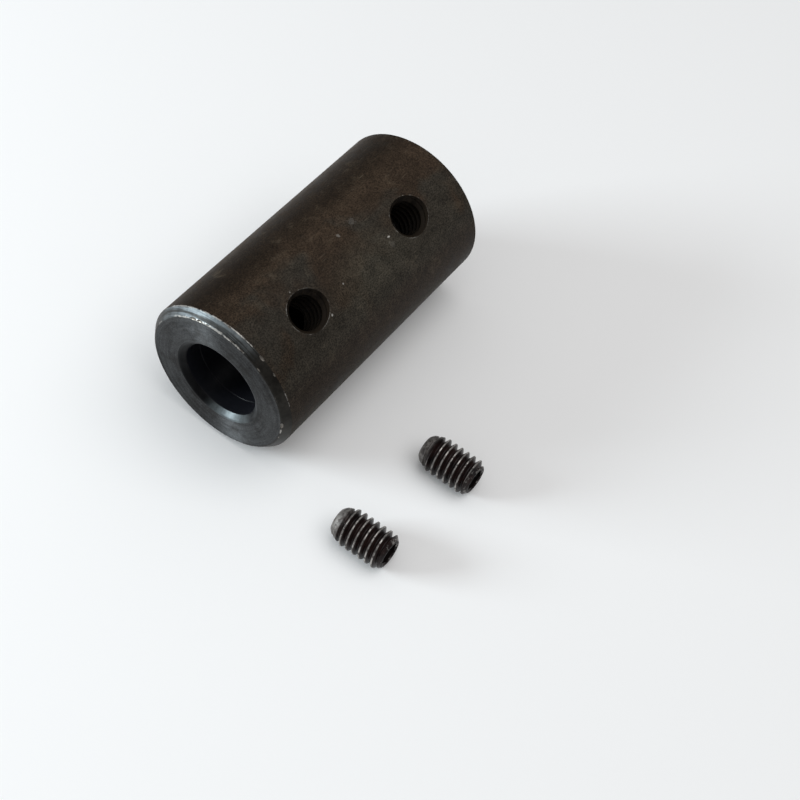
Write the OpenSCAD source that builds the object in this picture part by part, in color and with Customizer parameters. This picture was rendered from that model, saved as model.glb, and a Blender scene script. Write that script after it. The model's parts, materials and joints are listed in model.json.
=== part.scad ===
// Rigid shaft coupling: one turned sleeve that joins a thick shaft and a thinner
// one end to end, with two cup-point socket set screws, taken out of their holes
// and lying beside it. The sleeve lies on its side with its bores along X, and
// the origin is on their axis, half way between the ends, where the two bores
// meet. Lengths are in millimetres.

/* [Sleeve] */
// Outside diameter of the sleeve
sleeve_d = 16; // [13:0.5:24]
// Length of the sleeve from end to end
sleeve_len = 30; // [24:0.5:60]
// Diameter of the bore from the near end to the middle
near_bore_d = 8; // [7:0.5:10]
// Diameter of the bore from the middle to the far end
far_bore_d = 6; // [4:0.5:6.5]
// How far the chamfer round the near end cuts into the end face
near_chamfer_in = 0.6; // [0.2:0.1:0.8]
// How far the same chamfer runs along the side
near_chamfer_along = 0.75; // [0.2:0.05:1.5]
// Leg of the smaller 45 degree chamfer round the far end
far_chamfer = 0.3; // [0.1:0.1:0.8]
// Leg of the 45 degree chamfer at the mouth of each bore
bore_chamfer = 0.5; // [0.1:0.1:0.7]

/* [Set screw holes] */
// Distance from each end of the sleeve to the axis of its hole
hole_from_end = 7.4; // [5:0.1:10]
// Angle by which both holes lean from straight up, towards the loose screws
hole_lean = 31.5; // [0:0.5:80]
// Leg of the 45 degree countersink at the mouth of each hole
hole_chamfer = 0.6; // [0.2:0.05:1]

/* [Thread] */
// Nominal diameter of the set screw thread
thread_d = 4; // [3.5:0.1:5]
// Distance from one turn of the thread to the next
thread_pitch = 0.7; // [0.5:0.05:0.8]
// Radial play between the screw's crests and the nominal diameter
thread_play = 0.13; // [0.01:0.01:0.2]

/* [Set screws] */
// Length of each set screw from end to end
screw_len = 5.8; // [5:0.1:12]
// Width across the flats of the hexagon socket
socket_af = 2; // [1.3:0.1:2.1]
// Depth of the socket's flats
socket_depth = 2.4; // [1:0.1:3]
// Leg of the 45 degree chamfer where the thread starts at the socket end
socket_end_chamfer = 0.5; // [0.2:0.05:0.6]
// Diameter of the ring edge round the cup point
cup_d = 2.2; // [1.5:0.1:2.4]
// Depth of the hollow inside the cup point
cup_depth = 0.45; // [0.2:0.05:0.8]
// Leg of the 45 degree bevel round the cup's ring edge
point_bevel = 0.3; // [0.1:0.05:0.4]
// Distance from the point's end to where its taper reaches the full thread
point_taper = 1.4; // [0.8:0.1:2]

/* [Where the screws lie] */
// How far past the sleeve's near end the first screw's axis lies
near_screw_past_end = 1.05; // [0:0.05:6]
// Clear distance between the sleeve's side and the first screw's point
near_screw_gap = 7.1; // [1:0.1:20]
// Angle of the first screw from square to the sleeve
near_screw_yaw = 0.2; // [-45:0.1:45]
// How far the first screw is rolled about its own axis
near_screw_roll = 110; // [0:5:355]
// Distance between the two screws' axes, along the sleeve
screw_spacing = 11.55; // [6:0.05:20]
// Clear distance between the sleeve's side and the second screw's point
far_screw_gap = 8.6; // [1:0.1:20]
// Angle of the second screw from square to the sleeve
far_screw_yaw = -1; // [-45:0.1:45]
// How far the second screw is rolled about its own axis
far_screw_roll = 245; // [0:5:355]

/* [Hidden] */

// Facets of the turned surfaces and of one turn of the thread
round_fn = 96;
turn_steps = 40;
// Overshoot of every cut past the surface that it goes through
cut = 1;

blackened_steel = [0.21, 0.19, 0.17];
screw_black = [0.11, 0.09, 0.09];

sleeve_r = sleeve_d / 2;
near_bore_r = near_bore_d / 2;
far_bore_r = far_bore_d / 2;
// The near end of the sleeve is at -X, and the surface it lies on is one radius down
near_end_x = -sleeve_len / 2;
floor_z = -sleeve_r;

// Tapping drill of a metric thread: nominal diameter less one pitch
tap_drill_r = (thread_d - thread_pitch) / 2;

// Metric 60 degree thread form of the screws
thread_half_angle = 30;
crest_r = thread_d / 2 - thread_play;
thread_depth = 0.6134 * thread_pitch;
root_r = crest_r - thread_depth;
crest_flat = thread_pitch / 8;
flank_run = thread_depth * tan(thread_half_angle);

// One tooth of the thread as [place along the axis, radius], crest first
tooth = [
    [-crest_flat / 2, crest_r],
    [crest_flat / 2, crest_r],
    [crest_flat / 2 + flank_run, root_r],
    [thread_pitch - crest_flat / 2 - flank_run, root_r],
];

// The turned form of the sleeve, as half of its section, with the axis as Y and
// the near end at the bottom. The two bores meet in a flat shoulder at the middle.
module sleeve_section() {
    half = sleeve_len / 2;
    polygon([
        [near_bore_r, -half + bore_chamfer],
        [near_bore_r + bore_chamfer, -half],
        [sleeve_r - near_chamfer_in, -half],
        [sleeve_r, -half + near_chamfer_along],
        [sleeve_r, half - far_chamfer],
        [sleeve_r - far_chamfer, half],
        [far_bore_r + bore_chamfer, half],
        [far_bore_r, half - bore_chamfer],
        [far_bore_r, 0],
        [near_bore_r, 0],
    ]);
}

// Tapped hole with its countersink, from the sleeve's axis up through one wall
module set_screw_hole() {
    cylinder(r = tap_drill_r, h = sleeve_r + cut, $fn = round_fn);
    translate([0, 0, sleeve_r - hole_chamfer])
        cylinder(r1 = tap_drill_r, r2 = tap_drill_r + hole_chamfer + cut,
                 h = hole_chamfer + cut, $fn = round_fn);
}

module sleeve() {
    hole_x = sleeve_len / 2 - hole_from_end;
    color(blackened_steel)
        difference() {
            rotate([0, 90, 0])
                rotate_extrude($fn = round_fn)
                    sleeve_section();
            for (x = [-hole_x, hole_x])
                translate([x, 0, 0])
                    rotate([hole_lean, 0, 0])
                        set_screw_hole();
        }
}

// Solid helix of the screw thread from below zero up past the given length.
// Its skin is one long ribbon: the tooth is carried round the axis and up by
// one pitch a turn, and each turn's root meets the crest of the turn above.
module thread_rod(length) {
    turns = ceil(length / thread_pitch) + 2;
    steps = turns * turn_steps;
    corners = len(tooth);
    start_z = -thread_pitch;

    function ring_point(i, k) = let(angle = 360 * i / turn_steps)
        [tooth[k][1] * cos(angle), tooth[k][1] * sin(angle),
         start_z + thread_pitch * i / turn_steps + tooth[k][0]];
    function at(i, k) = i * corners + k;
    function two_faces(a, b, c, d) = [[a, b, c], [a, c, d]];

    low_centre = (steps + 1) * corners;
    high_centre = low_centre + 1;
    points = concat(
        [for (i = [0:steps]) for (k = [0:corners - 1]) ring_point(i, k)],
        [[0, 0, start_z + thread_pitch / 2],
         [0, 0, start_z + thread_pitch * (turns - 0.5)]]);

    // Crest, two flanks and the near edge of the root
    tooth_faces = [for (i = [0:steps - 1]) for (k = [0:corners - 2])
        each two_faces(at(i, k), at(i, k + 1), at(i + 1, k + 1), at(i + 1, k))];
    // Root, across to the turn above
    root_faces = [for (i = [0:steps - turn_steps - 1])
        each two_faces(at(i, corners - 1), at(i + turn_steps, 0),
                       at(i + turn_steps + 1, 0), at(i + 1, corners - 1))];
    // Edge of each end, closed by a fan from a point on the axis
    low_edge = concat(
        [for (i = [0:turn_steps]) at(i, 0)],
        [for (k = [corners - 1:-1:1]) at(0, k)]);
    high_edge = concat(
        [for (i = [steps:-1:steps - turn_steps]) at(i, corners - 1)],
        [for (k = [0:corners - 2]) at(steps, k)]);
    function fan(centre, edge) = [for (j = [0:len(edge) - 1])
        [centre, edge[j], edge[(j + 1) % len(edge)]]];

    polyhedron(points, concat(tooth_faces, root_faces,
        fan(low_centre, low_edge), fan(high_centre, high_edge)));
}

// What the lathe leaves of the screw: the hollow, bevel and taper of the cup
// point at the bottom, and the chamfer that starts the thread at the top
module screw_blank() {
    blank_r = crest_r + thread_depth;
    cup_r = cup_d / 2;
    taper_r = cup_r + point_bevel;
    taper_run = (point_taper - point_bevel) / (crest_r - taper_r);
    end_r = crest_r - socket_end_chamfer;
    rotate_extrude($fn = turn_steps)
        polygon([
            [0, cup_depth],
            [cup_r, 0],
            [taper_r, point_bevel],
            [blank_r, point_bevel + (blank_r - taper_r) * taper_run],
            [blank_r, screw_len - (blank_r - end_r)],
            [end_r, screw_len],
            [0, screw_len],
        ]);
}

// Hexagon socket with the cone that its drill leaves at the bottom
module hex_socket() {
    corner_r = socket_af / 2 / cos(30);
    flat_r = socket_af / 2;
    drill_cone = flat_r * tan(30);
    translate([0, 0, screw_len - socket_depth])
        cylinder(r = corner_r, h = socket_depth + cut, $fn = 6);
    translate([0, 0, screw_len - socket_depth - drill_cone])
        cylinder(r1 = 0, r2 = flat_r, h = drill_cone + 0.01, $fn = turn_steps);
}

// One set screw, standing on its point
module set_screw() {
    difference() {
        intersection() {
            thread_rod(screw_len);
            screw_blank();
        }
        hex_socket();
    }
}

// A set screw laid on the surface beside the sleeve: its point faces the sleeve
// across the gap, and its socket faces away
module lying_screw(x, gap, yaw, roll) {
    color(screw_black)
        translate([x, -sleeve_r - gap, floor_z + crest_r])
            rotate([0, 0, yaw])
                rotate([90, 0, 0])
                    rotate([0, 0, roll])
                        set_screw();
}

module near_set_screw() {
    lying_screw(near_end_x - near_screw_past_end, near_screw_gap,
                near_screw_yaw, near_screw_roll);
}

module far_set_screw() {
    lying_screw(near_end_x - near_screw_past_end + screw_spacing, far_screw_gap,
                far_screw_yaw, far_screw_roll);
}

sleeve();
near_set_screw();
far_set_screw();
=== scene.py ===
# %% [markdown]
# # A rigid shaft coupling and its set screws
# The object is a short steel sleeve that joins two shafts end to end, and two
# socket set screws, which lie beside it. The construction model already holds
# every piece at its real size and place. This lesson gives the pieces what the
# eye looks for: worn edges, cut threads, turned end faces and black oxide.
# The model is loaded first, because everything else is measured from it.

# %% Load the construction model
import json
import math
import bmesh
import bpy
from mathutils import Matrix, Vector


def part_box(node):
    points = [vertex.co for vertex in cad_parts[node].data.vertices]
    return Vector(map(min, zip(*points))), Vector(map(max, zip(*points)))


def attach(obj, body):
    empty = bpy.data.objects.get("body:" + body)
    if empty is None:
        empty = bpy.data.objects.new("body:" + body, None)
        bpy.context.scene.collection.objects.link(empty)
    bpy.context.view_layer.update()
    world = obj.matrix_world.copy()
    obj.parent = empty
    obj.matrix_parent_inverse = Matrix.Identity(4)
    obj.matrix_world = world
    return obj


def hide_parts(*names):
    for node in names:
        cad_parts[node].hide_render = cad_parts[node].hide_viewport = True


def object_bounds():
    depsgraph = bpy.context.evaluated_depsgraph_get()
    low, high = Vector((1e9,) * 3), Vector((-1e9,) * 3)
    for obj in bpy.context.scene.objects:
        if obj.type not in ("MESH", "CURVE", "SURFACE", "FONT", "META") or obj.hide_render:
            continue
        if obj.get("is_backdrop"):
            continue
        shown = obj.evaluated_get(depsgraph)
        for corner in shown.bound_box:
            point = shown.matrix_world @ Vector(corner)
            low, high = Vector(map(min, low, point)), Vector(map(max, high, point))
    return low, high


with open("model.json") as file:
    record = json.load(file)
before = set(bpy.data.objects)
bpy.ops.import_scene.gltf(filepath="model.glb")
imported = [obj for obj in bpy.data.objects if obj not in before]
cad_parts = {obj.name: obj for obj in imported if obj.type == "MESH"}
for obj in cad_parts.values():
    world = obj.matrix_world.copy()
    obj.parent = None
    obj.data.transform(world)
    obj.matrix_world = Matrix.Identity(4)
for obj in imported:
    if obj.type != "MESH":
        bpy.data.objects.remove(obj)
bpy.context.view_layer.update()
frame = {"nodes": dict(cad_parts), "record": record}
mounts = {mount["name"]: mount for mount in frame["record"]["mounts"]}
print("nodes:", sorted(frame["nodes"]))

# %% [markdown]
# ## Measures from the frame
# Blender works in metres and a machinist in millimetres, so two small functions
# stand between them. The sleeve's size comes from its box, and the two bores
# and the tapped holes come from the mounts that the record states for them.

# %% Sizes of the sleeve
def mm(value):
    """Millimetres as Blender's metres."""
    return value * 0.001

def in_mm(length):
    """Blender's metres as millimetres."""
    return length * 1000

sleeve_low, sleeve_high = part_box("sleeve")
half_length = (sleeve_high.x - sleeve_low.x) / 2
sleeve_radius = (sleeve_high.y - sleeve_low.y) / 2
near_bore_radius = mm(mounts["near_shaft_bore"]["dims"]["r_mm"])
far_bore_radius = mm(mounts["far_shaft_bore"]["dims"]["r_mm"])
drill_radius = mm(mounts["near_screw_hole"]["dims"]["r_mm"])
hole_places = [mounts[name]["pos_m"][0] for name in ("near_screw_hole", "far_screw_hole")]
hole_axis = Vector(mounts["near_screw_hole"]["axis"])
hole_lean = math.atan2(-hole_axis.y, hole_axis.z)
floor_height = sleeve_low.z
print("sleeve radius and half length, mm:", in_mm(sleeve_radius), in_mm(half_length))

# %% Sizes that the photograph gives
near_chamfer_in = mm(0.6)
near_chamfer_along = mm(0.75)
far_chamfer = mm(0.3)
bore_chamfer = mm(0.5)
countersink = mm(0.6)
thread_pitch = mm(0.7)
hole_thread_radius = mm(2.02)

# %% [markdown]
# ## Helpers for working as by hand
# An operator acts on whatever is selected, so each helper starts by selecting
# nothing. Faces and edges are then picked by where they are. A modifier is
# added, set and applied in one go. A boolean uses up its cutting tool, and the
# slivers that it leaves are dissolved.

# %% Selecting and editing
# A point is at a place when it is as close to it as one of these
CLOSE, VERY_CLOSE = mm(0.1), mm(0.01)
# A face looks along an axis when its normal has more than this of it
NEARLY_ALONG = 0.9

def select_only(piece):
    """Makes one object the only one selected, and the active one."""
    bpy.ops.object.select_all(action="DESELECT")
    bpy.context.view_layer.objects.active = piece
    piece.select_set(True)

def begin_edit(piece, mode="VERT"):
    """Opens a piece in edit mode with all of it selected."""
    select_only(piece)
    bpy.ops.object.mode_set(mode="EDIT")
    bpy.ops.mesh.select_mode(type=mode)
    bpy.ops.mesh.select_all(action="SELECT")

def end_edit():
    """Goes back to object mode, which writes the changes to the mesh."""
    bpy.ops.object.mode_set(mode="OBJECT")

def pick(piece, kind, test):
    """Selects the vertices, edges or faces that pass the test, and nothing else."""
    bpy.ops.mesh.select_all(action="DESELECT")
    mesh = bmesh.from_edit_mesh(piece.data)
    chosen = [element for element in getattr(mesh, kind) if test(element)]
    for element in chosen:
        element.select_set(True)
    mesh.select_flush_mode()
    bmesh.update_edit_mesh(piece.data)
    return len(chosen)

# %% Modifiers and cutting
MERGE_DISTANCE = mm(0.0005)

def apply_modifier(piece, kind, **settings):
    """Adds a modifier, sets it up and applies it."""
    select_only(piece)
    modifier = piece.modifiers.new(kind.title(), kind)
    for name, value in settings.items():
        setattr(modifier, name, value)
    bpy.ops.object.modifier_apply(modifier=modifier.name)

def cut(piece, tool, operation="DIFFERENCE"):
    """Cuts a piece with a tool, which is used up. New faces keep the tool's material."""
    apply_modifier(piece, "BOOLEAN", object=tool, operation=operation,
                   solver="EXACT", material_mode="TRANSFER")
    bpy.data.objects.remove(tool)
    begin_edit(piece)
    bpy.ops.mesh.dissolve_degenerate(threshold=MERGE_DISTANCE)
    end_edit()

def tidy_normals(piece):
    """Merges what lies on itself and turns every face outwards."""
    begin_edit(piece)
    bpy.ops.mesh.remove_doubles(threshold=MERGE_DISTANCE)
    bpy.ops.mesh.normals_make_consistent(inside=False)
    end_edit()

def set_down(piece, place=(0, 0, 0), turn=(0, 0, 0)):
    """Moves and turns a piece, and keeps the result in its mesh."""
    select_only(piece)
    piece.location = place
    piece.rotation_euler = turn
    bpy.ops.object.transform_apply(location=True, rotation=True, scale=True)

# %% Drawing a section and turning it on the lathe
def draw_line(name, points):
    """A chain of edges through points: one vertex, extruded from point to point."""
    bpy.ops.object.select_all(action="DESELECT")
    bpy.ops.mesh.primitive_plane_add(size=mm(1), location=(0, 0, 0))
    line = bpy.context.object
    line.name = name
    begin_edit(line)
    bpy.ops.mesh.merge(type="CENTER")
    bpy.ops.transform.translate(value=points[0])
    for here, there in zip(points, points[1:]):
        step = Vector(there) - Vector(here)
        bpy.ops.mesh.extrude_vertices_move(TRANSFORM_OT_translate={"value": step})
    end_edit()
    return line

def turn_on_lathe(piece, axis, steps):
    """Spins the drawn section once round an axis through the origin."""
    begin_edit(piece)
    bpy.ops.mesh.spin(steps=steps, angle=2 * math.pi, center=(0, 0, 0), axis=axis)
    end_edit()
    tidy_normals(piece)

# %% [markdown]
# ## A name for each finish
# A cut leaves the finish of its tool behind, as it does in the shop: a tapped
# hole is darker inside than the turned side round it. So the finishes are
# named now, empty, and each tool carries one. Their nodes are made later.

# %% Name the finishes
finishes = {}
for name in ("turned_side_black_oxide", "faced_end_gunmetal", "rubbed_chamfer_gunmetal",
             "bored_black_oxide", "tapped_hole_black_oxide", "bare_steel_nick",
             "rolled_thread_black_oxide", "broached_socket_black_oxide"):
    finishes[name] = bpy.data.materials.new(name)

def give_finish(piece, *names):
    """Puts finishes in a piece's slots, the first one on all its faces."""
    piece.data.materials.clear()
    for name in names:
        piece.data.materials.append(finishes[name])

# %% [markdown]
# ## The sleeve's turned form
# The real sleeve was faced, chamfered and bored on a lathe. A cylinder with
# bevels could stand for it, but a lathe works on a section, and so does Spin:
# a flat rectangle as long as the sleeve and as wide as its wall gets a shoulder
# in the middle, where the wide bore meets the narrow one, and chamfers at its
# corners. Its outline is then spun once round the X axis. Each bore was opened
# a hair wider at its mouth, and the small step where that stops catches the
# light, so it is drawn too.

# %% Section of the wall
SPANS = 7
relief_depth = mm(2.3)
relief_step = mm(0.02)
wall_middle = (sleeve_radius + near_bore_radius) / 2

def bore_radius_at(along):
    """The near bore is at -X, and the far one at +X."""
    return near_bore_radius if along < 0 else far_bore_radius

def on_inner_side(vertex):
    """Whether a point of the section is on the side of the bore."""
    return vertex.co.y < wall_middle

bpy.ops.object.select_all(action="DESELECT")
bpy.ops.mesh.primitive_plane_add(size=1, location=(0, wall_middle, 0))
sleeve = bpy.context.object
sleeve.name = "sleeve_turned"
begin_edit(sleeve, "EDGE")
bpy.ops.transform.resize(value=(2 * half_length, sleeve_radius - near_bore_radius, 1))
pick(sleeve, "edges", lambda e: all(v.co.y < 0 for v in e.verts))
bpy.ops.mesh.subdivide(number_cuts=SPANS - 1)
end_edit()
set_down(sleeve, place=(0, wall_middle, 0))

# %% Shoulder in the middle and a relief at each mouth
begin_edit(sleeve)
pick(sleeve, "verts", lambda v: on_inner_side(v) and v.co.x > 0)
bpy.ops.transform.translate(value=(0, far_bore_radius - near_bore_radius, 0))

# The cuts lie at 5, 3 and 1 sevenths of the half length, on both sides
new_places = {5: half_length - relief_depth,
              3: half_length - relief_depth - relief_step,
              1: 0}
for side in (-1, 1):
    for sevenths, new_place in new_places.items():
        old_place = side * half_length * sevenths / SPANS
        pick(sleeve, "verts", lambda v: on_inner_side(v) and abs(v.co.x - old_place) < CLOSE)
        bpy.ops.transform.translate(value=(side * new_place - old_place, 0, 0))
pick(sleeve, "verts", lambda v: on_inner_side(v)
     and abs(v.co.x) > half_length - relief_depth - relief_step / 2)
bpy.ops.transform.translate(value=(0, relief_step, 0))

# %% Chamfers and worn corners
def end_chamfer_at(along):
    """How far the chamfer cuts into the end: the near one is wider than the far one."""
    return near_chamfer_in if along < 0 else far_chamfer

for side in (-1, 1):
    pick(sleeve, "verts", lambda v: not on_inner_side(v) and v.co.x * side > 0)
    bpy.ops.mesh.bevel(offset=end_chamfer_at(side), affect="VERTICES", segments=1)
pick(sleeve, "verts", lambda v: v.co.y > sleeve_radius - CLOSE and v.co.x < 0)
bpy.ops.transform.translate(value=(near_chamfer_along - near_chamfer_in, 0, 0))
pick(sleeve, "verts", lambda v: on_inner_side(v) and abs(v.co.x) > half_length - CLOSE)
bpy.ops.mesh.bevel(offset=bore_chamfer - relief_step, affect="VERTICES", segments=1)

def above_bore(vertex):
    """How far a point is out from the wall of its bore."""
    return vertex.co.y - bore_radius_at(vertex.co.x)

def above_chamfer(vertex):
    """How far a point is out from where the chamfer meets the face."""
    return vertex.co.y - sleeve_radius + end_chamfer_at(vertex.co.x)

end_zone = half_length - mm(1)
corner_rounds = {
    "face to chamfer": (mm(0.12), above_chamfer),
    "chamfer to side": (mm(0.08), lambda v: v.co.y - sleeve_radius),
    "mouth of the bore": (mm(0.14), lambda v: above_bore(v) - bore_chamfer),
    "bore behind its mouth": (mm(0.05), lambda v: above_bore(v) - relief_step),
}
for corner, (rounding, offset) in corner_rounds.items():
    count = pick(sleeve, "verts", lambda v: abs(offset(v)) < VERY_CLOSE
                 and abs(v.co.x) > end_zone)
    bpy.ops.mesh.bevel(offset=rounding, affect="VERTICES", segments=4)
    print("rounded", corner, "at", count, "points")
bpy.ops.mesh.select_all(action="SELECT")
bpy.ops.mesh.delete(type="ONLY_FACE")
end_edit()

# %% One turn round the axis
LATHE_STEPS = 320
turn_on_lathe(sleeve, axis=(1, 0, 0), steps=LATHE_STEPS)
give_finish(sleeve, "turned_side_black_oxide", "faced_end_gunmetal", "bored_black_oxide",
            "rubbed_chamfer_gunmetal")

# Slots of the finishes: every face has slot 0, the turned side's, at first.
# The margins put the rounded corners with the chamfers.
FACE, BORE, CHAMFER = 1, 2, 3
end_margin, edge_margin = mm(0.002), mm(0.02)
near_side_edge = -half_length + near_chamfer_along + edge_margin
far_side_edge = half_length - far_chamfer - edge_margin
for face in sleeve.data.polygons:
    middle = face.center
    radius = math.hypot(middle.y, middle.z)
    on_shoulder = abs(middle.x) < CLOSE and radius < near_bore_radius
    if on_shoulder or radius < bore_radius_at(middle.x) + relief_step + VERY_CLOSE:
        face.material_index = BORE
    elif abs(middle.x) > half_length - end_margin:
        face.material_index = FACE
    elif not near_side_edge < middle.x < far_side_edge:
        face.material_index = CHAMFER
print("turned sleeve:", len(sleeve.data.polygons), "faces")

# %% [markdown]
# ## Nicks
# The near end has been knocked: small dents break the light along both turned
# edges. A dent is what a hard round corner leaves as it slides along, so a long
# icosphere that dips into the edge cuts it. Where each one is follows the
# photograph, as an angle round the end from the top towards the screws.

# %% The near end's two edges, as places along and out from the axis
end_edge = (-half_length, sleeve_radius - near_chamfer_in)
side_edge = (-half_length + near_chamfer_along, sleeve_radius)

# %% Knock the near end's edges
DENT_STRETCH = 2.2
DIAGONAL_SHARE = 0.7
# Each nick: edge, degrees from the top, radius in mm of what hit it, depth in mm
nicks = [
    (end_edge, -22, 0.30, 0.09), (end_edge, -16, 0.26, 0.08), (end_edge, -9, 0.16, 0.05),
    (end_edge, 12, 0.16, 0.05), (end_edge, 21, 0.18, 0.06), (end_edge, 38, 0.18, 0.06),
    (end_edge, 89, 0.24, 0.11), (end_edge, 105, 0.14, 0.05), (end_edge, 140, 0.16, 0.05),
    (side_edge, 33, 0.30, 0.06), (side_edge, 46, 0.20, 0.04), (side_edge, 5, 0.18, 0.04),
]
for (place, radius), degrees, size, depth in nicks:
    angle = math.radians(degrees)
    clear = mm(size - depth) * DIAGONAL_SHARE
    out = radius + clear
    centre = (place - clear, -out * math.sin(angle), out * math.cos(angle))
    bpy.ops.object.select_all(action="DESELECT")
    bpy.ops.mesh.primitive_ico_sphere_add(subdivisions=2, radius=mm(size))
    corner = bpy.context.object
    corner.scale = (1, DENT_STRETCH, 1)
    set_down(corner, place=centre, turn=(angle, 0, 0))
    give_finish(corner, "bare_steel_nick")
    cut(sleeve, corner)
print("nicks cut:", len(nicks))

# %% [markdown]
# ## A thread
# A thread is one tooth carried round the axis and up by one pitch a turn, which
# is what the Screw modifier does. The tooth is drawn as a short line with its
# crest and root a little rounded, as rolling and tapping leave them. Two cuts
# across the axis, filled, then close the rod, so that it can cut other pieces.

# %% Thread rod
THREAD_HALF_ANGLE = math.radians(30)
SPARE_TURNS = 3

def thread_rod(name, crest_radius, depth, low, high, steps, softness):
    """A closed rod along Z with a right-hand thread, from low to high."""
    crest_flat = thread_pitch / 8
    run = depth * math.tan(THREAD_HALF_ANGLE)
    root_radius = crest_radius - depth
    turns = math.ceil((high - low) / thread_pitch) + SPARE_TURNS
    start = math.floor(low / thread_pitch - SPARE_TURNS / 2) * thread_pitch
    corners = [
        (crest_radius, -crest_flat / 2),
        (crest_radius, crest_flat / 2),
        (root_radius, crest_flat / 2 + run),
        (root_radius, thread_pitch - crest_flat / 2 - run),
        (crest_radius, thread_pitch - crest_flat / 2),
    ]
    rod = draw_line(name, [(radius, 0, start + place) for radius, place in corners])
    begin_edit(rod)
    next_tooth = start + thread_pitch
    pick(rod, "verts", lambda v: start - crest_flat < v.co.z < next_tooth - crest_flat)
    bpy.ops.mesh.bevel(offset=softness, affect="VERTICES", segments=2)
    end_edit()
    apply_modifier(rod, "SCREW", axis="Z", angle=2 * math.pi, screw_offset=thread_pitch,
                   iterations=turns, steps=steps, render_steps=steps,
                   use_merge_vertices=True, merge_threshold=MERGE_DISTANCE)
    begin_edit(rod)
    bpy.ops.mesh.remove_doubles(threshold=MERGE_DISTANCE)
    for height, direction in ((low, -1), (high, 1)):
        bpy.ops.mesh.select_all(action="SELECT")
        bpy.ops.mesh.bisect(plane_co=(0, 0, height), plane_no=(0, 0, direction),
                            use_fill=True, clear_outer=True, threshold=MERGE_DISTANCE / 10)
    end_edit()
    tidy_normals(rod)
    return rod

# %% [markdown]
# ## The tapped holes
# Each hole was drilled through one wall, countersunk and tapped M4. A thread
# rod as large as the tap cuts it, and a cone cuts the countersink. Both tools
# are modelled upright, leaned over by the angle that the record gives and
# moved along the sleeve. Both reach out past the side, and the tap reaches
# into the bore as well, so that no skin of metal is left.

# %% Cut the tapped holes
HOLE_THREAD_STEPS = 64
CONE_SIDES = 96
tool_reach = mm(0.6)
tap_breakthrough = mm(0.9)
tap_softness = mm(0.02)
cone_below_drill_edge = mm(0.25)

def add_cone(low_radius, high_radius, low, high, sides):
    """A cone or cylinder along Z from low to high."""
    bpy.ops.object.select_all(action="DESELECT")
    bpy.ops.mesh.primitive_cone_add(
        vertices=sides, radius1=low_radius, radius2=high_radius, depth=high - low,
        location=(0, 0, (low + high) / 2))
    bpy.ops.object.transform_apply(location=True)
    return bpy.context.object

for place in hole_places:
    tap = thread_rod("tap", hole_thread_radius, hole_thread_radius - drill_radius,
                     bore_radius_at(place) - tap_breakthrough, sleeve_radius + tool_reach,
                     HOLE_THREAD_STEPS, tap_softness)
    cone = add_cone(drill_radius - cone_below_drill_edge,
                    drill_radius + countersink + tool_reach,
                    sleeve_radius - countersink - cone_below_drill_edge,
                    sleeve_radius + tool_reach, CONE_SIDES)
    for tool in (cone, tap):
        give_finish(tool, "tapped_hole_black_oxide")
        set_down(tool, place=(place, 0, 0), turn=(hole_lean, 0, 0))
        cut(sleeve, tool)
print("sleeve with its holes:", len(sleeve.data.polygons), "faces")

# %% [markdown]
# ## The set screws
# A set screw starts as a rolled rod. Its ends are turned, so the thread rod is
# intersected with a turned blank, which has the bevel and taper of the cup
# point at one end and the chamfer that starts the thread at the other. The
# hexagon socket is broached over a drilled hole, which leaves a cone below the
# flats. One screw is modelled standing on its point, and both are copies.

# %% What the lathe leaves of a screw
screw_length = mm(5.8)
screw_crest_radius = mm(1.87)
STANDARD_DEPTH_PER_PITCH = 0.6134
screw_thread_depth = STANDARD_DEPTH_PER_PITCH * thread_pitch
cup_radius = mm(1.1)
cup_depth = mm(0.45)
point_bevel = mm(0.3)
point_taper = mm(1.4)
socket_end_radius = screw_crest_radius - mm(0.5)
blank_clearance = mm(0.4)
blank_rounding = mm(0.06)
SCREW_STEPS = 96

def turned_blank():
    """A screw without its thread: cup point below, thread start above."""
    widest = screw_crest_radius + blank_clearance
    taper_radius = cup_radius + point_bevel
    taper_run = (point_taper - point_bevel) / (screw_crest_radius - taper_radius)
    outline = [
        (0, cup_depth),
        (cup_radius, 0),
        (taper_radius, point_bevel),
        (widest, point_bevel + (widest - taper_radius) * taper_run),
        (widest, screw_length - (widest - socket_end_radius)),
        (socket_end_radius, screw_length),
        (0, screw_length),
    ]
    blank = draw_line("blank", [(radius, 0, height) for radius, height in outline])
    begin_edit(blank)
    pick(blank, "verts", lambda v: v.co.x > CLOSE)
    bpy.ops.mesh.bevel(offset=blank_rounding, affect="VERTICES", segments=3)
    end_edit()
    turn_on_lathe(blank, axis=(0, 0, 1), steps=SCREW_STEPS)
    return blank

# %% The hexagon socket
socket_flat_radius = mm(1)
socket_corner_radius = socket_flat_radius / math.cos(math.pi / 6)
socket_depth = mm(2.4)
socket_ledge = mm(0.12)
drill_cone_depth = mm(0.55)
socket_overshoot = mm(1)

def hexagon_broach():
    """The socket's tool: a hexagon that ends in the drill's cone."""
    broach = add_cone(socket_corner_radius, socket_corner_radius,
                      screw_length - socket_depth, screw_length + socket_overshoot, sides=6)
    begin_edit(broach, "FACE")
    pick(broach, "faces", lambda f: f.normal.z < -NEARLY_ALONG)
    bpy.ops.mesh.inset(thickness=socket_ledge)
    bpy.ops.mesh.extrude_region_move(
        TRANSFORM_OT_translate={"value": (0, 0, -drill_cone_depth)})
    bpy.ops.mesh.merge(type="CENTER")
    end_edit()
    return broach

# %% The screw itself
rod_overshoot = mm(0.3)
rolled_softness = mm(0.022)
socket_mouth = mm(0.12)
mouth_past_corners = socket_mouth * 0.3
mouth_radius = socket_corner_radius + mouth_past_corners

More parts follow.
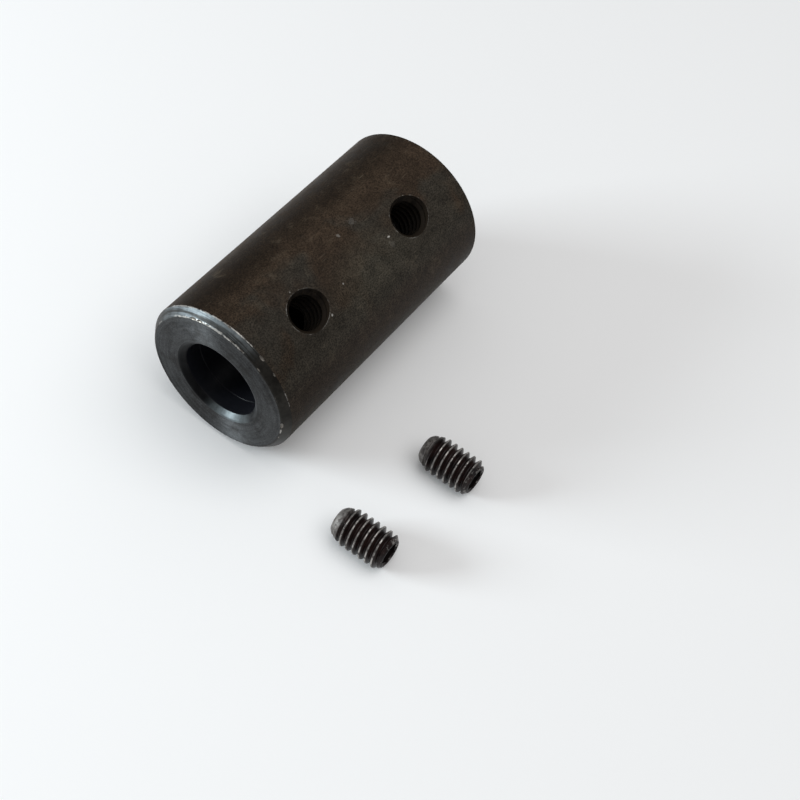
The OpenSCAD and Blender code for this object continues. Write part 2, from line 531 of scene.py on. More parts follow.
screw = thread_rod("set_screw", screw_crest_radius, screw_thread_depth, -rod_overshoot,
                   screw_length + rod_overshoot, SCREW_STEPS, rolled_softness)
mouth_cone = add_cone(mouth_radius - socket_mouth, mouth_radius + socket_overshoot,
                      screw_length - socket_mouth, screw_length + socket_overshoot,
                      SCREW_STEPS)
blank = turned_blank()
broach = hexagon_broach()
for piece in (screw, blank, mouth_cone):
    give_finish(piece, "rolled_thread_black_oxide")
give_finish(broach, "broached_socket_black_oxide")
cut(blank, mouth_cone)
cut(blank, broach)
cut(screw, blank, "INTERSECT")
tidy_normals(screw)

# The flat ring round the socket is as dark as the socket itself
socket_slot = screw.data.materials.find("broached_socket_black_oxide")
for face in screw.data.polygons:
    if face.normal.z > NEARLY_ALONG and face.center.z > screw_length - CLOSE:
        face.material_index = socket_slot
print("set screw:", len(screw.data.polygons), "faces")

# %% Remember how far each point is from the axis and from the tip
from_axis = screw.data.attributes.new("from_axis", "FLOAT", "POINT")
from_tip = screw.data.attributes.new("from_tip", "FLOAT", "POINT")
for vertex in screw.data.vertices:
    from_axis.data[vertex.index].value = in_mm(math.hypot(vertex.co.x, vertex.co.y))
    from_tip.data[vertex.index].value = in_mm(vertex.co.z)

# %% Lay both screws down
# Each screw: its turn on the floor, and its roll about its own axis
screw_turns = {"near_set_screw": (math.radians(0.2), math.radians(110)),
               "far_set_screw": (math.radians(-1), math.radians(245))}
screws = {}
for node, (yaw, roll) in screw_turns.items():
    low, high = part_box(node)
    select_only(screw)
    bpy.ops.object.duplicate()
    laid = bpy.context.object
    laid.name = node + "_threaded"
    set_down(laid, turn=(0, 0, roll))
    tip_to_socket = Vector((math.sin(yaw), -math.cos(yaw), 0))
    tip = (low + high) / 2 - tip_to_socket * screw_length / 2
    tip.z = floor_height + screw_crest_radius
    set_down(laid, place=tip, turn=(math.pi / 2, 0, yaw))
    screws[node] = laid
bpy.data.objects.remove(screw)

# %% [markdown]
# ## Colours and nodes
# A colour is written as the sRGB hex value that a paint chart gives, and one
# function turns it to the linear values that the shaders calculate with. A
# second small function adds a node with its settings and links. Most patterns
# go through a Map Range node with a smooth curve, so that none has a hard
# border, and the setting for it has a name.

# %% Colour and node helpers
def linear(hex_colour):
    """An sRGB hex colour as the linear values that the shaders take."""
    channels = [int(hex_colour[i:i + 2], 16) / 255 for i in (1, 3, 5)]
    return [c / 12.92 if c <= 0.04045 else ((c + 0.055) / 1.055) ** 2.4 for c in channels] + [1]

def add_node(tree, kind, inputs=None, **settings):
    """Adds a node. An input is named or numbered, and takes a value, a socket or a node."""
    node = tree.nodes.new("ShaderNode" + kind)
    for name, value in settings.items():
        setattr(node, name, value)
    for name, value in (inputs or {}).items():
        if isinstance(name, int):
            socket = node.inputs[name]
        else:
            socket = next(s for s in node.inputs if s.enabled and s.name == name)
        if isinstance(value, bpy.types.Node):
            value = next(s for s in value.outputs if s.enabled)
        if isinstance(value, bpy.types.NodeSocket):
            tree.links.new(value, socket)
        else:
            socket.default_value = value
    return node

SMOOTH = {"interpolation_type": "SMOOTHSTEP"}

def start_finish(name, **values):
    """Opens a finish's nodes and sets what is the same all over it on its shader."""
    material = finishes[name]
    material.use_nodes = True
    tree = material.node_tree
    shader = tree.nodes["Principled BSDF"]
    for socket, value in values.items():
        shader.inputs[socket.replace("_", " ")].default_value = value
    return tree, shader

# %% [markdown]
# ## Places on the sleeve
# Wear and turning marks follow the shape, so they are worked out from where a
# point is: how far along the sleeve from its middle, and how far from its
# axis. Object coordinates give that in metres, and they are turned to
# millimetres here. So every width and length of a pattern below is in
# millimetres, and its noise takes one divided by it as its scale.

# %% Along and around the sleeve
def object_point(tree):
    """The point's own place in the piece, in millimetres."""
    coordinates = add_node(tree, "TexCoord")
    return add_node(tree, "VectorMath", {
        0: coordinates.outputs["Object"], "Scale": in_mm(1)}, operation="SCALE")

def sleeve_places(tree):
    """A point in millimetres, its distance from the middle and from the axis."""
    point = object_point(tree)
    parts = add_node(tree, "SeparateXYZ", {0: point})
    along = add_node(tree, "Math", {0: parts.outputs["X"]}, operation="ABSOLUTE")
    across = add_node(tree, "CombineXYZ", {"Y": parts.outputs["Y"], "Z": parts.outputs["Z"]})
    radius = add_node(tree, "VectorMath", {0: across}, operation="LENGTH")
    return {"point": point, "along": along, "radius": radius, "across": across,
            "x": parts.outputs["X"], "y": parts.outputs["Y"], "z": parts.outputs["Z"]}

def facing(tree, places, direction):
    """1 where the sleeve's round faces that way, and -1 on the other side."""
    toward = add_node(tree, "VectorMath", {0: places["across"]}, operation="NORMALIZE")
    return add_node(tree, "VectorMath", {0: toward, 1: direction}, operation="DOT_PRODUCT")

def join(tree, shader, **values):
    """Links the nodes that vary over the surface to the shader's sockets."""
    for name, value in values.items():
        output = next(s for s in value.outputs if s.enabled)
        tree.links.new(output, shader.inputs[name.replace("_", " ")])

# %% [markdown]
# ## Bands and colours that lie over each other
# Nearly every pattern is used in one of two ways. Two of its values are turned
# into how much there is of something, which makes a band with soft borders, and
# such bands are multiplied. Or a colour is laid over another, more and more as
# the pattern goes from one value to the other.

# %% Bands
def product(tree, *bands):
    """Multiplies bands. Each is a pattern, two of its values and what they become."""
    result = 1
    for pattern, start, end, start_share, end_share in bands:
        share = add_node(tree, "MapRange", {
            "Value": pattern, "From Min": start, "From Max": end, "To Min": start_share,
            "To Max": end_share}, **SMOOTH)
        result = add_node(tree, "Math", {0: result, 1: share}, operation="MULTIPLY")
    return result

def toned(tree, colour, *bands):
    """A colour that bands make darker and lighter."""
    return add_node(tree, "VectorMath", {
        0: colour, "Scale": product(tree, *bands)}, operation="SCALE")

def lay_over(tree, under, over, pattern, start, end, most=1):
    """Lays one colour over another, more and more as the pattern goes from start to end."""
    share = add_node(tree, "MapRange", {
        "Value": pattern, "From Min": start, "From Max": end, "To Max": most}, **SMOOTH)
    under, over = [linear(c) if isinstance(c, str) else c for c in (under, over)]
    return add_node(tree, "Mix", {"Factor": share, "A": under, "B": over}, data_type="RGBA")

# %% [markdown]
# ## Worn edges
# An edge goes bare where it is touched or knocked. Its wear is worked out from
# the distance to the edge, and noise breaks it up twice: long stretches and
# fine chips decide where it is bare at all, and the chips also make its border
# ragged. Each edge is worn more on one side than on the others.

# %% Wear along an edge
STRETCH_LENGTH, CHIP_WIDTH = 2.2, 0.35
STRETCH_SHARE, CHIP_SHARE = 0.65, 0.35
# Noise times RAGGEDNESS widths is added to a distance, which makes its border
# ragged. Noise is a half on average, so this is RAGGED_MEAN widths on average.
RAGGEDNESS = 3
RAGGED_MEAN = RAGGEDNESS / 2
handled_side = (0, 0.31, 0.95)
struck_side = (0, 0.17, 0.98)

# Each edge: width of the wear in mm, the side that is most worn, the cosine of
# the angle that this side reaches, and how much more it is worn than the rest
edge_habits = {end_edge: (0.13, struck_side, 0.8, 0.35),
               side_edge: (0.09, handled_side, 0.6, 0.1)}

def edge_wear(tree, places, edge):
    """How bare a turned edge is: 1 where it is rubbed through."""
    along, out = edge
    width, side, reach, extra = edge_habits[edge]
    here = add_node(tree, "CombineXYZ", {"X": places["x"], "Y": places["radius"]})
    corner = (in_mm(along), in_mm(out), 0)
    distance = add_node(tree, "VectorMath", {0: here, 1: corner}, operation="DISTANCE")
    stretches = add_node(tree, "TexNoise", {
        "Vector": places["point"], "Scale": 1 / STRETCH_LENGTH, "Detail": 2, "Roughness": 0.5})
    chips = add_node(tree, "TexNoise", {
        "Vector": places["point"], "Scale": 1 / CHIP_WIDTH, "Detail": 3, "Roughness": 0.6})
    uneven = add_node(tree, "Math", {
        0: chips, 1: width * RAGGEDNESS, 2: distance}, operation="MULTIPLY_ADD")
    worn_side = add_node(tree, "MapRange", {
        "Value": facing(tree, places, side), "From Min": reach, "From Max": 1, "To Max": extra},
        **SMOOTH)
    worn = add_node(tree, "Math", {
        0: stretches, 1: STRETCH_SHARE, 2: worn_side}, operation="MULTIPLY_ADD")
    worn = add_node(tree, "Math", {0: chips, 1: CHIP_SHARE, 2: worn}, operation="MULTIPLY_ADD")
    border = (uneven, width * (RAGGED_MEAN + 0.9), width * (RAGGED_MEAN + 0.2), 0, 1)
    return product(tree, border, (worn, 0.53, 0.62, 0, 1))

# %% [markdown]
# ## The turned side: black oxide on steel
# Black oxide is a thin coat grown on the steel in a hot bath and then oiled.
# It is no paint: it is dark and uneven, brown where it is dry and greyer where
# oil stays. Its faint gloss is the oil's, and so is the IOR. Its pattern is
# built from real sizes: stains of 6.5 mm and clouds of 1.6 mm. Its grain is
# too fine for the camera, and is drawn at 0.13 mm, as coarse as it needs to be
# to show. The coat scatters light as dark stone does, so it is metallic only
# where it is worn to the steel.

# %% Turned side
BARE_STEEL = "#b4b1ac"
STAIN_WIDTH, CLOUD_WIDTH, GRAIN_WIDTH = 6.5, 1.6, 0.13
MORE_OIL_PER_MM = -0.028

tree, shader = start_finish("turned_side_black_oxide", IOR=1.45, Specular_IOR_Level=0.06)
places = sleeve_places(tree)
point = places["point"]
stains = add_node(tree, "TexNoise", {
    "Vector": point, "Scale": 1 / STAIN_WIDTH, "Detail": 3, "Roughness": 0.55, "Distortion": 0.5})
towards_screws = add_node(tree, "Math", {
    0: places["y"], 1: MORE_OIL_PER_MM, 2: stains}, operation="MULTIPLY_ADD")
body = lay_over(tree, "#352b22", "#332f29", towards_screws, 0.5, 0.68)
clouds = add_node(tree, "TexNoise", {
    "Vector": point, "Scale": 1 / CLOUD_WIDTH, "Detail": 6, "Roughness": 0.7})
grain = add_node(tree, "TexNoise", {
    "Vector": point, "Scale": 1 / GRAIN_WIDTH, "Detail": 2, "Roughness": 0.6})

# %% [markdown]
# ## Where the coat is painted lighter and darker
# The coat is painted darker in a band along the back and a little darker
# towards the near end, as painted shade. It is painted greyer and lighter
# between the holes, as painted light, and darker and browner low on the
# screws' side, as painted shade. More noise would put such places anywhere, so
# each is a soft patch, found by the way that it faces or by its distance from a point.

# %% Painted light and shade on the side
# The painted light patch between the holes is twice as long as it is wide, so the sleeve is halved
# in length
halved = add_node(tree, "Mapping", {"Vector": point, "Scale": (0.5, 1, 1)})
from_painted_light_patch = add_node(tree, "VectorMath", {0: halved, 1: (0.5, -4.9, 6.3)}, operation="DISTANCE")
body = lay_over(tree, body, "#3f3c34", from_painted_light_patch, 4, 0.5, most=0.55)
# Painted shade: darker and browner low on the screws' side.
painted_shade_low_side = facing(tree, places, (0, -0.98, 0.17))
body = lay_over(tree, body, "#2f2822", painted_shade_low_side, 0.93, 1)

# Painted shade: a darker band along the back, and a darker colour towards the near end.
painted_shade_band = facing(tree, places, (0, 0.47, 0.88))
oxide = toned(tree, body, (clouds, 0.3, 0.7, 0.76, 1.26), (grain, 0.3, 0.7, 0.5, 1.54),
              (painted_shade_band, 0.91, 1, 1, 0.45), (places["x"], -3, -8, 1, 0.86))

# %% [markdown]
# ## Smudges, scratches and flecks
# Handling leaves pale smudges and fine slanted scratches, which noise draws
# well. The scratches are noise that is stretched to 2 mm of length and 0.1 mm
# of width. A few bright flecks, where the coat is through, catch the eye. They
# lie where the photograph shows them, each a spot with a ragged border.

# %% Smudges and scratches
SMUDGE_WIDTH = 1.7
SCRATCH_LENGTH, SCRATCH_WIDTH = 2, 1 / 9
smudges = add_node(tree, "TexNoise", {
    "Vector": point, "Scale": 1 / SMUDGE_WIDTH, "Detail": 8, "Roughness": 0.75, "Distortion": 0.4})
scuffed_oxide = lay_over(tree, oxide, "#5b5245", smudges, 0.54, 0.72, most=0.34)

squeeze = (1 / SCRATCH_LENGTH, 1 / SCRATCH_WIDTH, 1 / SCRATCH_WIDTH)
slanted = add_node(tree, "Mapping", {
    "Vector": point, "Rotation": (0.5, 0.2, 0.9), "Scale": squeeze})
scratches = add_node(tree, "TexNoise", {
    "Vector": slanted, "Scale": 1, "Detail": 2, "Roughness": 0.5})
scuffed_oxide = lay_over(tree, scuffed_oxide, "#6b6355", scratches, 0.68, 0.76, most=0.3)

# %% Flecks
RAGGED_WIDTH = 0.24
# Each fleck: place along the sleeve in mm, degrees from the top, radius in mm, how bare
flecks = [(4.2, 32, 0.13, 1), (-5.9, 44, 0.13, 1), (-3.0, 34, 0.10, 0.5), (0.3, 9, 0.18, 0.24),
          (-7.7, 15, 0.10, 0.4), (2.5, 8, 0.42, 0.08), (4.0, 37, 0.38, 0.06)]
ragged = add_node(tree, "TexNoise", {
    "Vector": point, "Scale": 1 / RAGGED_WIDTH, "Detail": 3, "Roughness": 0.65})
chipped = 0
for place, degrees, radius, bare in flecks:
    angle = math.radians(degrees)
    middle = Vector((place, -math.sin(angle) * in_mm(sleeve_radius),
                     math.cos(angle) * in_mm(sleeve_radius)))
    distance = add_node(tree, "VectorMath", {0: point, 1: middle}, operation="DISTANCE")
    uneven = add_node(tree, "Math", {
        0: ragged, 1: radius * RAGGEDNESS, 2: distance}, operation="MULTIPLY_ADD")
    chip = add_node(tree, "MapRange", {
        "Value": uneven, "From Min": radius * (RAGGED_MEAN + 1.1),
        "From Max": radius * (RAGGED_MEAN + 0.4), "To Max": bare}, **SMOOTH)
    chipped = add_node(tree, "Math", {0: chip, 1: chipped}, operation="MAXIMUM")
print("flecks on the side:", len(flecks))

# %% [markdown]
# ## Rims of the tapped holes
# A countersink meets the side in a sharp rim, which is rubbed in patches. It
# could be painted by hand, but both holes are known exactly: the rim is where
# a point is hardly farther from the hole's axis than the countersink's cone is
# at that height. Both holes are the same distance from the middle, so one
# calculation does for both.

# %% Wear on the side
past_hole = add_node(tree, "Math", {
    0: places["along"], 1: in_mm(hole_places[1])}, operation="SUBTRACT")
hole_point = add_node(tree, "CombineXYZ", {"X": past_hole, "Y": places["y"], "Z": places["z"]})
height = add_node(tree, "VectorMath", {0: hole_point, 1: hole_axis}, operation="DOT_PRODUCT")
on_axis = add_node(tree, "VectorMath", {
    0: hole_axis, "Scale": height.outputs["Value"]}, operation="SCALE")
off_axis = add_node(tree, "VectorMath", {0: hole_point, 1: on_axis}, operation="DISTANCE")
cone_tip = in_mm(sleeve_radius - countersink - drill_radius)
cone_radius = add_node(tree, "Math", {0: height, 1: cone_tip}, operation="SUBTRACT")
past_rim = add_node(tree, "Math", {0: off_axis, 1: cone_radius}, operation="SUBTRACT")
rim_wear = product(tree, (past_rim, 0.14, 0.02, 0, 1), (smudges, 0.48, 0.66, 0, 0.5))

wear = add_node(tree, "Math", {
    0: edge_wear(tree, places, side_edge), 1: chipped}, operation="MAXIMUM")
wear = add_node(tree, "Math", {0: wear, 1: rim_wear}, operation="MAXIMUM")
colour = add_node(tree, "Mix", {
    "Factor": wear, "A": scuffed_oxide, "B": linear(BARE_STEEL)}, data_type="RGBA")
roughness = add_node(tree, "MapRange", {
    "Value": clouds, "From Min": 0.3, "From Max": 0.7, "To Min": 0.46, "To Max": 0.6}, **SMOOTH)
bump = add_node(tree, "Bump", {"Strength": 0.6, "Distance": mm(0.006), "Height": grain})
join(tree, shader, Base_Color=colour, Metallic=wear, Roughness=roughness, Normal=bump)

# %% [markdown]
# ## The turned ends: gunmetal
# The ends were faced last, so their coat is thin and the steel shows through
# as gunmetal. A facing tool leaves a spiral of grooves too fine to see, but
# they smear every highlight across themselves. That is anisotropy with a
# tangent that runs round the axis, turned by a quarter, and it gives a turned
# face its two bright wedges. Rings of 0.3 mm stand for the turns that do show.

# %% Turning marks
RING_WIDTH = 0.3

def turned_rings(tree, places):
    """Turning marks round the axis, which drift a little from one side to the other."""
    place = add_node(tree, "CombineXYZ", {"X": places["radius"], "Y": places["along"]})
    drift = add_node(tree, "VectorMath", {0: places["point"], "Scale": 0.05}, operation="SCALE")
    place = add_node(tree, "VectorMath", {0: place, 1: drift}, operation="ADD")
    rings = add_node(tree, "TexNoise", {
        "Vector": place, "Scale": 1 / RING_WIDTH, "Detail": 3, "Roughness": 0.65})
    bump = add_node(tree, "Bump", {"Strength": 0.5, "Distance": mm(0.006), "Height": rings})
    return rings, bump

# %% Faced ends
# Blotches where oil has dried, and a speckle that is drawn coarser than it is
BLOTCH_WIDTH, SPECKLE_WIDTH = 1.6, 0.16

tree, shader = start_finish("faced_end_gunmetal", Metallic=0.95,
                            Anisotropic=0.85, Anisotropic_Rotation=0.25)
places = sleeve_places(tree)
point = places["point"]
rings, bump = turned_rings(tree, places)
blotches = add_node(tree, "TexNoise", {
    "Vector": point, "Scale": 1 / BLOTCH_WIDTH, "Detail": 6, "Roughness": 0.7})
speckle = add_node(tree, "TexNoise", {
    "Vector": point, "Scale": 1 / SPECKLE_WIDTH, "Detail": 2, "Roughness": 0.6})

face = lay_over(tree, "#4d4e4f", "#353331", blotches, 0.48, 0.64, most=0.5)
face = toned(tree, face, (speckle, 0.3, 0.7, 0.78, 1.22), (rings, 0.35, 0.65, 0.8, 1.22))

wear = edge_wear(tree, places, end_edge)
colour = add_node(tree, "Mix", {
    "Factor": wear, "A": face, "B": linear(BARE_STEEL)}, data_type="RGBA")
faced = add_node(tree, "MapRange", {
    "Value": blotches, "From Min": 0.3, "From Max": 0.7, "To Min": 0.62, "To Max": 0.74}, **SMOOTH)
roughness = add_node(tree, "Math", {0: wear, 1: -0.35, 2: faced}, operation="MULTIPLY_ADD")
tangent = add_node(tree, "Tangent", direction_type="RADIAL", axis="X")
join(tree, shader, Base_Color=colour, Roughness=roughness, Normal=bump, Tangent=tangent)

# %% [markdown]
# ## The chamfers: dark, rubbed, and painted light and shade
# A chamfer is cut in one pass and is smoother than the face. Hands have rubbed
# the top of the near one in streaks, which are also painted lighter as a painted
# highlight. The rest of it kept a dark coat, and so did all of the far one; this
# dark coat also stands in for dark reflections, as painted shade. In the bores'
# mouths the colour is lighter above, a painted reflection, and brightest at the
# bottom, a painted highlight.

# %% Chamfers: rubbed, with painted highlight and painted shade
CHAMFER_BLOTCH_WIDTH = 1.1

tree, shader = start_finish("rubbed_chamfer_gunmetal", Metallic=0.95,
                            Anisotropic=0.6, Anisotropic_Rotation=0.25)
places = sleeve_places(tree)
rings, bump = turned_rings(tree, places)
at_near_end = add_node(tree, "Math", {0: places["x"], 1: 0}, operation="LESS_THAN")
# Rubbed streaks at the top of the near chamfer, lightened further as a painted highlight. The rest
# is painted dark, as painted shade.
rubbed_streaks_and_painted_highlight = product(tree, (facing(tree, places, handled_side), 0.6, 0.96, 0, 1),
                  (rings, 0.41, 0.57, 0.15, 1))
rubbed_and_painted_highlight = add_node(tree, "Math", {0: rubbed_streaks_and_painted_highlight, 1: at_near_end}, operation="MULTIPLY")
dark_coat_and_painted_shade = add_node(tree, "Mix", {
    "Factor": at_near_end, "A": linear("#1c1a17"), "B": linear("#2c2a27")}, data_type="RGBA")
outer = add_node(tree, "Mix", {
    "Factor": rubbed_and_painted_highlight, "A": dark_coat_and_painted_shade, "B": linear("#71777a")}, data_type="RGBA")

# The mouth is painted lighter above, a painted reflection, and brightest at the bottom, a painted
# highlight.
painted_reflection_above = facing(tree, places, (0, -0.5, 0.87))
mouth = lay_over(tree, "#161617", "#47494b", painted_reflection_above, -0.1, 0.6)
painted_highlight_below = facing(tree, places, (0, -0.36, -0.93))
mouth = lay_over(tree, mouth, "#5c6264", painted_highlight_below, 0.7, 1)
mouth_limit = in_mm(wall_middle)
chamfer = lay_over(tree, outer, mouth, places["radius"], mouth_limit, mouth_limit - 0.1)
blotches = add_node(tree, "TexNoise", {
    "Vector": places["point"], "Scale": 1 / CHAMFER_BLOTCH_WIDTH, "Detail": 6, "Roughness": 0.7})
chamfer = toned(tree, chamfer, (blotches, 0.35, 0.65, 0.7, 1.25))

end_wear = edge_wear(tree, places, end_edge)
wear = add_node(tree, "Math", {
    0: end_wear, 1: edge_wear(tree, places, side_edge)}, operation="MAXIMUM")
colour = add_node(tree, "Mix", {
    "Factor": wear, "A": chamfer, "B": linear(BARE_STEEL)}, data_type="RGBA")
roughness = add_node(tree, "MapRange", {"Value": wear, "To Min": 0.5, "To Max": 0.32})
tangent = add_node(tree, "Tangent", direction_type="RADIAL", axis="X")
join(tree, shader, Base_Color=colour, Roughness=roughness, Normal=bump, Tangent=tangent)

# %% [markdown]
# ## Inside: bores, tapped holes and nicks
# Inside, the same oxide stays full and oily, so it is nearly black, and in the
# tapped holes the dark colour is also painted shade. The bores keep faint
# turning rings, and the lower side of each countersink is painted lighter, as
# painted light. A nick is fresh steel, bright and a little rough, and its torn
# grain is drawn at 0.1 mm so that it shows.

# %% Bores
BORE_RING_WIDTH, BORE_BLOTCH_WIDTH = 0.25, 0.8

tree, shader = start_finish("bored_black_oxide", IOR=1.45, Specular_IOR_Level=0.2)
places = sleeve_places(tree)
ring_place = add_node(tree, "CombineXYZ", {"X": places["along"]})
rings = add_node(tree, "TexNoise", {
    "Vector": ring_place, "Scale": 1 / BORE_RING_WIDTH, "Detail": 4, "Roughness": 0.7})
blotches = add_node(tree, "TexNoise", {
    "Vector": places["point"], "Scale": 1 / BORE_BLOTCH_WIDTH, "Detail": 5, "Roughness": 0.65})
colour = add_node(tree, "Mix", {
    "Factor": blotches, "A": linear("#0b0c10"), "B": linear("#191a1f")}, data_type="RGBA")
roughness = add_node(tree, "MapRange", {
    "Value": rings, "From Min": 0.3, "From Max": 0.7, "To Min": 0.32, "To Max": 0.5}, **SMOOTH)
bump = add_node(tree, "Bump", {"Strength": 0.5, "Distance": mm(0.005), "Height": rings})
join(tree, shader, Base_Color=colour, Roughness=roughness, Normal=bump)

# %% Tapped holes
HOLE_BLOTCH_WIDTH = 0.45

tree, shader = start_finish("tapped_hole_black_oxide", IOR=1.45, Specular_IOR_Level=0.06)
places = sleeve_places(tree)
blotches = add_node(tree, "TexNoise", {
    "Vector": places["point"], "Scale": 1 / HOLE_BLOTCH_WIDTH, "Detail": 5, "Roughness": 0.7})
# Nearly black: the oxide, and painted shade in the hole.
dark_coat_and_painted_shade = lay_over(tree, "#0f0c09", "#1d1813", blotches, 0.35, 0.65)
# The lower side of each countersink is painted lighter, a painted light.
lower_side = facing(tree, places, (0, -0.87, 0.5))
rim = in_mm(sleeve_radius)
painted_light_on_countersink = product(tree, (places["radius"], rim - 0.9, rim - 0.1, 0, 1),
               (lower_side, 0.86, 0.96, 0, 1))
colour = add_node(tree, "Mix", {
    "Factor": painted_light_on_countersink, "A": dark_coat_and_painted_shade, "B": linear("#251f18")}, data_type="RGBA")
roughness = add_node(tree, "MapRange", {
    "Value": blotches, "From Min": 0.3, "From Max": 0.7, "To Min": 0.4, "To Max": 0.6}, **SMOOTH)
join(tree, shader, Base_Color=colour, Roughness=roughness)

# %% Nicks
NICK_GRAIN_WIDTH = 0.1

tree, shader = start_finish("bare_steel_nick", Metallic=1, Roughness=0.35)
torn = add_node(tree, "TexNoise", {
    "Vector": object_point(tree), "Scale": 1 / NICK_GRAIN_WIDTH, "Detail": 4, "Roughness": 0.7})
colour = add_node(tree, "Mix", {
    "Factor": torn, "A": linear("#403d39"), "B": linear("#86817a")}, data_type="RGBA")
join(tree, shader, Base_Color=colour)

# %% [markdown]
# ## The set screws: oiled black oxide on a rolled thread
# These are alloy steel, rolled, hardened, blackened and oiled, so they are
# darker and glossier than the sleeve. The crests have been rubbed bare, which
# draws a thin broken bright line round every turn. Outside its cup, the turned
# point is rubbed to mottled grey, and the socket's end in patches. All of it
# follows the distances that were stored in the mesh before the screws were
# laid down.

# %% Rolled thread
MOTTLE_WIDTH, RUBBING_WIDTH = 0.9, 0.42

tree, shader = start_finish("rolled_thread_black_oxide", IOR=1.45, Specular_IOR_Level=0.2)
point = object_point(tree)
from_axis = add_node(tree, "Attribute", attribute_name="from_axis").outputs["Fac"]
from_tip = add_node(tree, "Attribute", attribute_name="from_tip").outputs["Fac"]
mottle = add_node(tree, "TexNoise", {
    "Vector": point, "Scale": 1 / MOTTLE_WIDTH, "Detail": 5, "Roughness": 0.65})
rubbing = add_node(tree, "TexNoise", {
    "Vector": point, "Scale": 1 / RUBBING_WIDTH, "Detail": 4, "Roughness": 0.65})
oxide = lay_over(tree, "#120d0d", "#241816", mottle, 0.35, 0.65)

crest, cup, length = [in_mm(size) for size in (screw_crest_radius, cup_radius, screw_length)]
crest_wear = product(tree, (from_axis, crest - 0.09, crest - 0.01, 0, 1),
                     (rubbing, 0.38, 0.6, 0.15, 1))
point_wear = product(tree, (from_tip, 1.2, 0.5, 0, 1), (from_axis, cup - 0.1, cup, 0, 1),
                     (rubbing, 0.36, 0.62, 0.12, 0.55))
socket_end_wear = product(tree, (from_tip, length - 0.5, length - 0.2, 0, 1),
                          (rubbing, 0.53, 0.66, 0, 0.5))
wear = add_node(tree, "Math", {0: crest_wear, 1: point_wear}, operation="MAXIMUM")
wear = add_node(tree, "Math", {0: wear, 1: socket_end_wear}, operation="MAXIMUM")

colour = add_node(tree, "Mix", {
    "Factor": wear, "A": oxide, "B": linear("#aeaaa6")}, data_type="RGBA")
roughness = add_node(tree, "MapRange", {
    "Value": point_wear, "From Min": 0, "From Max": 0.4, "To Min": 0.32, "To Max": 0.55}, **SMOOTH)
bump = add_node(tree, "Bump", {"Strength": 0.6, "Distance": mm(0.012), "Height": rubbing})
join(tree, shader, Base_Color=colour, Metallic=wear, Roughness=roughness, Normal=bump)

# %% Broached socket
SOCKET_MOTTLE_WIDTH = 0.4

tree, shader = start_finish("broached_socket_black_oxide", IOR=1.45, Specular_IOR_Level=0.1)
mottle = add_node(tree, "TexNoise", {
    "Vector": object_point(tree), "Scale": 1 / SOCKET_MOTTLE_WIDTH, "Detail": 4, "Roughness": 0.5})
colour = add_node(tree, "Mix", {
    "Factor": mottle, "A": linear("#0b0808"), "B": linear("#191312")}, data_type="RGBA")
roughness = add_node(tree, "MapRange", {
    "Value": mottle, "From Min": 0.3, "From Max": 0.7, "To Min": 0.35, "To Max": 0.55}, **SMOOTH)
join(tree, shader, Base_Color=colour, Roughness=roughness)
print("finishes:", ", ".join(finishes))

# %% [markdown]
# ## Smooth shading and the frame
# Turned surfaces shade smooth up to the angle of a real edge. Then each piece
# is given to the body that carries it, and the node of the construction model
# that it stands for is hidden.

# %% Shade and hand over
REAL_EDGE = math.radians(28)
for piece in (sleeve, *screws.values()):
    select_only(piece)
    bpy.ops.object.shade_smooth_by_angle(angle=REAL_EDGE)

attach(sleeve, "root")
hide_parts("sleeve")
for node, laid in screws.items():
    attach(laid, "root")
    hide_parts(node)

# %% [markdown]
# ## Floor
# The object lies on a plain white sheet. It is rough and nearly white, so it
# keeps soft shadows and lights the object from below, as paper does.

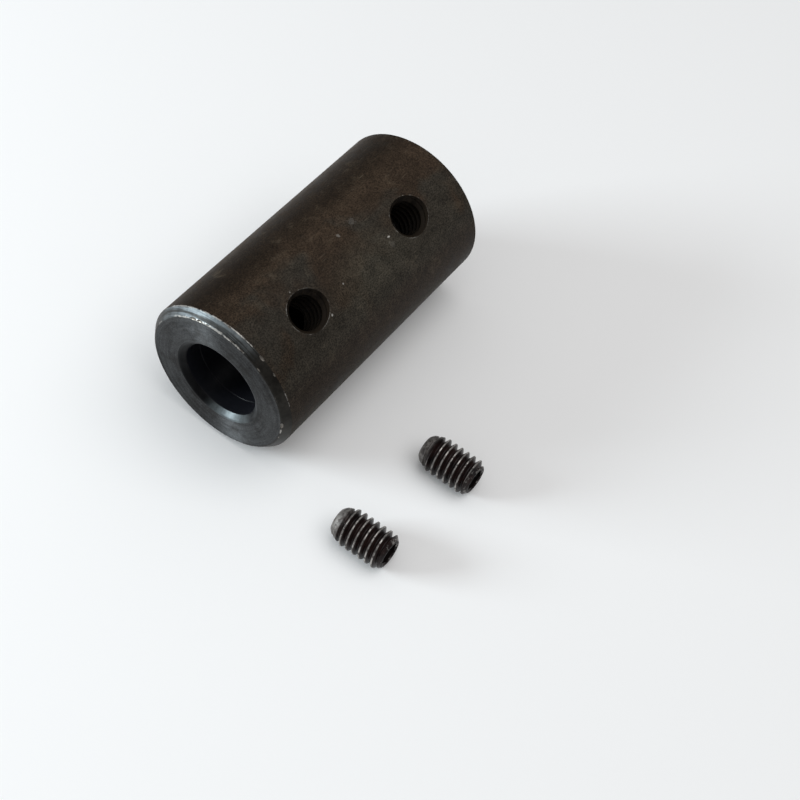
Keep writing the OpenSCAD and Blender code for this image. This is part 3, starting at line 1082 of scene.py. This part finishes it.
# %% Floor
bpy.ops.object.select_all(action="DESELECT")
bpy.ops.mesh.primitive_plane_add(size=4, location=(0, 0, floor_height))
floor = bpy.context.object
floor.name = "floor"
paper = bpy.data.materials.new("white_paper")
paper.use_nodes = True
paper_shader = paper.node_tree.nodes["Principled BSDF"]
paper_shader.inputs["Base Color"].default_value = linear("#f7f7f7")
paper_shader.inputs["Roughness"].default_value = 0.8
paper_shader.inputs["Specular IOR Level"].default_value = 0.2
floor.data.materials.append(paper)
floor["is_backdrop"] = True

# %% [markdown]
# ## Light
# One softbox stands low on the left. It is what draws the bright line along
# the end's edge, the spark in the mouth of the bore and the crests of the
# threads. A wide softbox overhead, a little towards the screws, fills the
# rest. The world is a room that is bright above and dim at the horizon, which
# rounds the sleeve's side off.

# %% Softboxes
def softbox(name, direction, distance, width, height, power, colour):
    """A rectangular area lamp that looks at the middle of the sleeve."""
    data = bpy.data.lights.new(name, "AREA")
    data.shape = "RECTANGLE"
    data.size = width
    data.size_y = height
    data.energy = power
    data.color = linear(colour)[:3]
    lamp = bpy.data.objects.new(name, data)
    bpy.context.scene.collection.objects.link(lamp)
    lamp.location = Vector(direction).normalized() * distance
    lamp.rotation_euler = Vector(direction).to_track_quat("Z", "Y").to_euler()

softbox("left_softbox", (-0.60, 0.74, 0.31), distance=0.30, width=0.12, height=0.09,
        power=0.76, colour="#f0faff")
softbox("overhead_softbox", (0.1, -0.35, 1), distance=0.5, width=0.5, height=0.5,
        power=1.15, colour="#ffffff")

# %% World
world = bpy.data.worlds.new("studio")
bpy.context.scene.world = world
world.use_nodes = True
tree = world.node_tree
direction = add_node(tree, "TexCoord")
parts = add_node(tree, "SeparateXYZ", {0: direction.outputs["Generated"]})
room = add_node(tree, "MapRange", {
    "Value": parts.outputs["Z"], "From Min": 0, "From Max": 0.9, "To Min": 0.1, "To Max": 0.5},
    **SMOOTH)
background = tree.nodes["Background"]
background.inputs["Color"].default_value = (1, 1, 1, 1)
tree.links.new(room.outputs["Result"], background.inputs["Strength"])

# %% [markdown]
# ## Camera
# The camera was worked out from the sleeve's outline in the photograph: where
# its ends and edges lie fixes the place, the turn and the lens.

# %% Camera
camera_data = bpy.data.cameras.new("camera")
camera = bpy.data.objects.new("camera", camera_data)
bpy.context.scene.collection.objects.link(camera)
camera.location = (mm(-74.01), mm(-49.36), mm(104.18))
camera.rotation_euler = [math.radians(angle) for angle in (36.016, -6.239, -53.915)]
camera_data.sensor_width = 36
camera_data.lens = 64.38
camera_data.clip_start = mm(5)
camera_data.clip_end = 20
bpy.context.scene.camera = camera
bpy.context.scene.view_settings.view_transform = "Standard"

# %% Finish
low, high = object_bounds()
